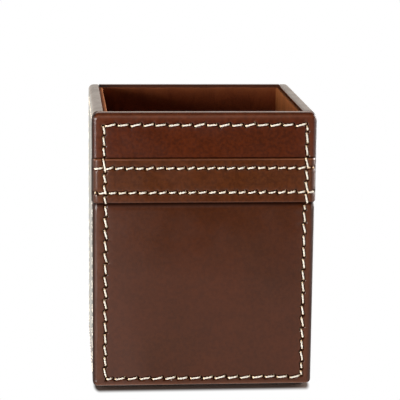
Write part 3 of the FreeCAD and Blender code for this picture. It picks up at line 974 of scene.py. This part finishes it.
def build_band(stitches):
    """A strip with rounded edges, pared thin at its wrapped ends."""
    run_out = OUTER_ROUND * QUARTER + BAND_END - OUTER_ROUND
    xs = stations(WHOLE.left + OUTER_ROUND - run_out, WHOLE.right - OUTER_ROUND + run_out, FINE_ALONG)
    full = band_full_lift(xs)
    turned = WHOLE.runs(xs, 0 * xs + BAND_FOOT)[0][0]
    # Painted highlight at the band's wrapped ends, with some wear.
    end_wear_and_highlight = edge_wear_and_highlight(turned, *SIDE_WEAR_AND_HIGHLIGHT)
    # Painted shade at the band's wrapped ends, with the turned edges' painted shade and dye.
    end_dye_and_shade = np.maximum(grow(turned, *DYED_AND_SHADED_EDGE), grow(turned, *BAND_END_SHADE))
    across = np.minimum(np.abs(xs) / WHOLE.right, 1)
    rings, dark, worn = [], [], []
    for z, turn, base in band_levels():
        heights = np.full_like(xs, z)
        lift = np.full_like(xs, base)
        shade = 0 * xs
        foot_shade = rubbed_and_lit = 0.0
        if turn is not None:
            depth, shade = relief(xs, heights, stitches)
            foot_shade, rubbed_and_lit = band_edge_look(z, turn, across)
            lift = full - BAND_EDGE_ROUND * (1 - sin(turn))
            lift = lift - depth + undulation(xs, heights, BAND_SWELL, BAND_SEED)
            lift = np.maximum(lift, base + BAND_CLEARANCE)
        rings.append(WHOLE.place(xs, heights, lift))
        # Painted shade in the holes, in the grooves and at the band's lower edge.
        dark.append(np.maximum(shade, foot_shade))
        worn.append(np.maximum(end_wear_and_highlight, rubbed_and_lit))
    dyed = [end_dye_and_shade] * len(rings)
    # Behind, it lies on the upper cover, then on the lower one.
    for base in (UPPER_LAP, 0.0):
        rings.append(WHOLE.place(xs, np.full_like(xs, LOWER.top), np.full_like(xs, base)))
    piece = make_piece("band_strip", FRONT.to_cup(np.vstack(rings)), band_faces(len(rings), len(xs)))
    add_shades(piece, hole=dark, dyed=dyed, worn=worn)
    finish_piece(piece, BAND_LEATHER, "front_band")


def build_front():
    """The front's two covers, the band and their stitching."""
    lines = {"upper": [], "band": [], "lower": []}
    rows = {"upper": [], "band": [], "lower": []}
    for part, line, steps in FRONT_BORDER:
        lines[part].append(line)
        rows[part] += stepped_row(line, steps)
    upper, columns, lower = (np.vstack(part_rows) for part_rows in rows.values())
    upper_row = band_row(*UPPER_BAND_ROW)
    lower_row = band_row(*LOWER_BAND_ROW)
    build_cover("front_upper_cover", UPPER, "front_board", upper, lines["upper"],
                UPPER_LEATHER, "foot")
    build_cover("front_lower_cover", LOWER, "front_board", lower, lines["lower"],
                LOWER_LEATHER, "top")
    build_band(np.vstack([columns, upper_row, lower_row]))
    border = np.vstack([upper, columns, lower])
    for name, node, row in (("front", "front_border", border), ("band_upper", "band_upper", upper_row),
                            ("band_lower", "band_lower", lower_row)):
        build_thread(name + "_stitching", node + "_thread", WHOLE, row, front_ground)


# ---- Lining, floor and foot ----

LINER_FACE_ROUND = 0.62
LINER_BACK_ROUND = 0.35
LINER_SEAM = 0.05
LINER_FOOT = 0.5
LINER_STEP = 1.5
LINER_FADE = 6
FACE_STEP = 2.5
NAP_STEP = 0.6
NAP_MARGIN = 0.4
# Painted light near the suede's top edge, with some rubbed nap: its strength and reach.
NAP_WEAR_AND_LIGHT = 0.32
NAP_REACH = 2.3
NAP_LEVELS = 7.0
FACE_SWELL = 0.12
FACE_PRESS = 0.1
FACE_SEED = 40
RIM_SWELL = 0.06
RIM_PRESS = 0.05
RIM_SEED = 60


def arc_points(centre, top, radius, start, count):
    """Points of a quarter arc below a level, as (depth, z) pairs."""
    turns = np.linspace(start, start + QUARTER, count)
    return [(centre + radius * cos(turn), top - radius + radius * sin(turn)) for turn in turns]


def liner_section(wall, side):
    """The suede's section, up its face and over to the card: depths, levels, and its face and rim."""
    _, (back, front), (foot, top) = wall.span(side + "_liner_suede")
    _, (_, card_face), (_, card_top) = wall.span(side + "_liner_card")
    nap_foot = top - NAP_LEVELS
    levels = [*stations(foot, nap_foot, FACE_STEP),
              *stations(nap_foot + NAP_STEP, top - LINER_FACE_ROUND - NAP_MARGIN, NAP_STEP)]
    section = [(front, z) for z in levels]
    section += arc_points(front - LINER_FACE_ROUND, top, LINER_FACE_ROUND, 0, 6)
    section += arc_points(back + LINER_BACK_ROUND, top, LINER_BACK_ROUND, QUARTER, 4)
    section += [(back, card_top), (card_face, card_top), (card_face, foot)]
    depths, levels = np.array(section).T
    on_face = depths > card_face + LINER_SEAM
    on_face &= (levels < top - LINER_SEAM) & (levels > foot + LINER_FOOT)
    return depths, levels, on_face, levels > top - LINER_FACE_ROUND


def build_liner(side):
    """Suede over a lining panel's card and its upper edge."""
    wall = WALLS[side]
    (left, right), _, (_, top) = wall.span(side + "_liner_suede")
    section = liner_section(wall, side)
    count = len(section[0])
    xs = stations(left, right, LINER_STEP)
    x = np.repeat(xs, count)
    depths, levels, on_face, on_top = (np.tile(part, len(xs)) for part in section)
    fade = np.minimum(np.minimum(x - left, right - x) / LINER_FADE, 1)
    ripple = undulation(x, levels, FACE_SWELL, len(side) + FACE_SEED)
    edge = undulation(x * 3, levels * 0, RIM_SWELL, len(side) + RIM_SEED)
    # Painted light, with some rubbed nap: paler near the top edge, where light falls in over the rim.
    rubbed_and_lit = NAP_WEAR_AND_LIGHT * np.exp(-np.maximum(top - levels, 0) / NAP_REACH) * (1 + 3 * edge)
    depths -= on_face * (FACE_PRESS + ripple) * fade
    levels -= on_top * (RIM_PRESS + edge) * fade
    points = wall.to_cup(np.column_stack([x, depths, levels]))
    piece = make_piece(side + "_lining", points, tube_faces(len(xs), count), SOFT_ANGLE)
    add_shades(piece, worn=rubbed_and_lit)
    # The back wall gets the shaded copy of the suede.
    material = SHADED_BACK_SUEDE if side == "back" else LINING_SUEDE
    finish_piece(piece, material, side + "_liner_suede")


SLAB_LEVELS = (0.0, 0.3, 0.7, 1.0)


def rounded_outline(half, corner, step):
    """Points round a rounded rectangle, each with the way it faces."""
    turns = np.linspace(0, QUARTER, 6)[1:-1]
    rows = []
    for number in range(4):
        ahead = np.array(((1, 0), (0, 1), (-1, 0), (0, -1))[number])
        outward = np.array((ahead[1], -ahead[0]))
        reach, width = half[number % 2], half[1 - number % 2]
        for at in stations(corner - reach, reach - corner, step):
            rows.append((*(at * ahead + width * outward), *outward))
        centre = (reach - corner) * ahead + (width - corner) * outward
        for turn in turns:
            facing = sin(turn) * ahead + cos(turn) * outward
            rows.append((*(centre + corner * facing), *facing))
    return np.array(rows)


def build_slab(name, node, material, corner, edge_round, uneven, step):
    """A thin slab with rounded corners and edges and an uneven outline."""
    low, high = np.array([tuple(point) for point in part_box(node)]) / MM
    centre = (low + high) / 2
    outline = rounded_outline((high - low)[:2] / 2, corner, step)
    count = len(outline)
    points = []
    for share in SLAB_LEVELS:
        pull = edge_round * (2 * share - 1) ** 4 + uneven * rng.uniform(0, 1, (count, 1))
        flat = outline[:, :2] - outline[:, 2:] * pull + centre[:2]
        points.append(np.insert(flat, 2, low[2] + (high[2] - low[2]) * share, axis=1))
    faces = tube_faces(len(SLAB_LEVELS), count)
    finish_piece(make_piece(name, np.vstack(points) * MM, faces, SOFT_ANGLE), material, node)


# ---- Camera, floor and light ----

IMAGE_SIZE = 400
FOCAL_PIXELS = 1728.6
SENSOR = 36.0
CAMERA_PLACE = Vector((-52.65, -661.98, 195.96)) * MM
YAW = radians(4.70)
PITCH = radians(11.27)
ROLL = radians(0.593)


def add_camera():
    """A long lens, a little left of the cup and above it."""
    forward = Vector((sin(YAW) * cos(PITCH), cos(YAW) * cos(PITCH), -sin(PITCH)))
    level = Vector((cos(YAW), -sin(YAW), 0))
    over = level.cross(forward)
    right = cos(ROLL) * level + sin(ROLL) * over
    up = -sin(ROLL) * level + cos(ROLL) * over
    data = bpy.data.cameras.new("camera")
    data.sensor_width = SENSOR
    data.lens = FOCAL_PIXELS / IMAGE_SIZE * SENSOR
    data.clip_start = 0.01
    data.clip_end = 50
    camera = new_object("camera", data)
    turned = Matrix((right, up, -forward)).transposed().to_4x4()
    camera.matrix_world = Matrix.Translation(CAMERA_PLACE) @ turned
    bpy.context.scene.camera = camera


AMBIENT = 0.035
ROOM_SIDE = (0.2, 0.75)
ROOM_GLOW = 0.02
SWEEP_TINT = (0.86, 0.8, 0.72, 1.0)


def add_world():
    """White; in the gloss a warm white sweep behind and a dim room in front."""
    world = bpy.data.worlds.new("surround")
    bpy.context.scene.world = world
    nodes = Nodes(world, "Generated")
    background = world.node_tree.nodes["Background"].inputs
    direct = nodes.ray("Camera", "Transmission")
    nodes.set(background["Color"], nodes.mix(direct, SWEEP_TINT, WHITE))
    sweep = nodes.ramp(nodes.axes()["Y"], *ROOM_SIDE, ROOM_GLOW, 1.0)
    mirrored = nodes.math("MULTIPLY", nodes.ray("Glossy"), sweep)
    strength = nodes.math("MAXIMUM", nodes.math("MAXIMUM", direct, mirrored), AMBIENT)
    nodes.set(background["Strength"], strength)


FLOOR_SIZE = 12.0
# Colour of the painted contact shadow: a dark diffuse patch by the cup's foot.
SHADOW_TINT = (0.16, 0.12, 0.1, 1.0)
# The painted contact shadow's reach, in metres by axis, and where it starts to fade.
CONTACT_CORE = (0.0384, 0.037)
CONTACT_FADE = (0.0028, 0.01)
CONTACT_START = 0.5
# A painted reflection: a glow on the floor that only the cup's gloss sees, as of a lit white sheet, brighter
# behind the cup. Below are its parts' edges, in metres, and their brightness.
REFLECTION_EDGE = (-0.34, -0.2)
REFLECTION_LEFT = (0.0, 0.03, 0.0, 1.6)
REFLECTION_RIGHT = (0.07, 0.12)
REFLECTION_FAR = (-0.52, -0.4, 0.25, 1.0)
REFLECTION_GLOW = 0.55
BEHIND = (0.0, 0.06)
BEHIND_REFLECTION_GLOW = 0.8
BACK_DIM = (0.04, 0.1, 1.0, 0.3)
GLOW_TINT = (1.0, 0.96, 0.92, 1.0)
BEHIND_GLOW_TINT = (0.98, 1.0, 0.92, 1.0)
FLOOR_BOUNCE = 0.3


def contact_shadow(nodes, axes):
    """0 by the cup's foot, where the floor is a dark diffuse patch, a painted contact shadow that also takes
    the cup's own shadow, and 1 past it.
    """
    past = []
    for axis, core, fade in zip("XY", CONTACT_CORE, CONTACT_FADE):
        over = nodes.math("SUBTRACT", nodes.math("ABSOLUTE", axes[axis]), core)
        over = nodes.math("DIVIDE", nodes.math("MAXIMUM", over, 0.0), fade)
        past.append(nodes.math("MULTIPLY", over, over))
    return nodes.ramp(nodes.math("SQRT", nodes.math("ADD", *past)), CONTACT_START, 1.0)


def painted_reflection_glow(nodes, axes, behind):
    """How bright the painted reflection on the floor is in the cup's gloss, as of a lit white sheet."""
    ahead = nodes.ramp(axes["Y"], *BACK_DIM)
    near = nodes.math("MULTIPLY", nodes.ramp(axes["Y"], *REFLECTION_EDGE), ahead)
    leftward = nodes.ramp(nodes.math("MULTIPLY", axes["X"], -1.0), *REFLECTION_LEFT)
    rightward = nodes.math("MULTIPLY", nodes.ramp(axes["X"], *REFLECTION_RIGHT), ahead)
    beside = nodes.math("MAXIMUM", leftward, rightward)
    beside = nodes.math("MULTIPLY", beside, nodes.ramp(axes["Y"], *REFLECTION_FAR))
    strength = nodes.math("MULTIPLY_ADD", behind, BEHIND_REFLECTION_GLOW - REFLECTION_GLOW, REFLECTION_GLOW)
    return nodes.math("MULTIPLY", nodes.math("MAXIMUM", near, beside), strength)


def floor_material():
    """A painted contact shadow by the cup's foot, white beyond, and a painted reflection in the cup's gloss.
    """
    material = bpy.data.materials.new("floor_white")
    material.use_nodes = True
    material.node_tree.nodes.clear()
    nodes = Nodes(material)
    axes = nodes.axes()
    direct = nodes.ray("Camera", "Transmission")
    behind = nodes.ramp(axes["Y"], *BEHIND)
    # The painted contact shadow, seen directly, and white past it.
    seen = nodes.math("MULTIPLY", direct, contact_shadow(nodes, axes))
    # Painted reflection: glossy rays see a glow on the floor.
    mirrored = nodes.math("MULTIPLY", nodes.ray("Glossy"), painted_reflection_glow(nodes, axes, behind))
    bounced = nodes.math("MULTIPLY", nodes.ray("Diffuse"), FLOOR_BOUNCE)
    share = nodes.math("MAXIMUM", nodes.math("MAXIMUM", seen, mirrored), bounced)
    tint = nodes.mix(direct, nodes.mix(behind, GLOW_TINT, BEHIND_GLOW_TINT), WHITE)
    shaded = nodes.node("BsdfDiffuse", (SHADOW_TINT,))[0]
    white = nodes.node("Emission", (tint,))[0]
    blend = nodes.node("MixShader", (share, shaded, white))[0]
    nodes.node("OutputMaterial", (blend,))
    return material


def add_floor():
    mesh = bpy.data.meshes.new("floor")
    half = FLOOR_SIZE / 2
    corners = [(-half, -half, 0), (half, -half, 0), (half, half, 0), (-half, half, 0)]
    mesh.from_pydata(corners, [], [(0, 1, 2, 3)])
    mesh.materials.append(floor_material())
    new_object("floor", mesh)


# Lamps aimed at the cup's middle: name, place and size in metres, and watts.
CUP_MIDDLE = Vector((0, 0, 0.05))
LAMPS = (
    ("front_left", (-0.92, -1.0, 0.16), (0.8, 0.3), 19.5),
    ("right", (1.15, -0.45, 0.12), (0.6, 0.2), 2.8),
    ("left_high", (-1.1, 0.12, 0.4), (0.4, 0.4), 4.5),
    ("right_high", (1.0, 0.5, 0.36), (0.9, 0.6), 34),
    ("back", (0.95, 0.95, 0.05), (0.8, 0.09), 6),
    ("front_high", (-0.1, -1.0, 0.55), (0.6, 1.0), 0.9),
)


def add_lamps():
    for name, place, size, watts in LAMPS:
        data = bpy.data.lights.new(name, "AREA")
        data.shape = "RECTANGLE"
        data.size, data.size_y = size
        data.energy = watts
        lamp = new_object(name, data)
        lamp.location = place
        lamp.rotation_euler = (CUP_MIDDLE - Vector(place)).to_track_quat("-Z", "Y").to_euler()


# ---- The whole cup ----

build_plain_wall("left", ("left", "foot", "top"))
build_plain_wall("right", ("right", "foot", "top"))
build_plain_wall("back", ("foot", "top"))
build_front()
for lined_side in WALLS:
    build_liner(lined_side)
build_slab("floor_lining", "floor_suede", LINING_SUEDE, 0.5, 0.12, 0.05, 1.5)
build_slab("foot_pad", "base_pad", BASE_FELT, 2.0, 0.2, 0.08, 0.7)
for node_name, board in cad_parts.items():
    if node_name.endswith("_board"):
        set_material(board, WALL_BOARD)
    if node_name.endswith("_card"):
        set_material(board, LINING_CARD)

bpy.context.scene.view_settings.view_transform = "Standard"
add_camera()
add_world()
add_floor()
add_lamps()
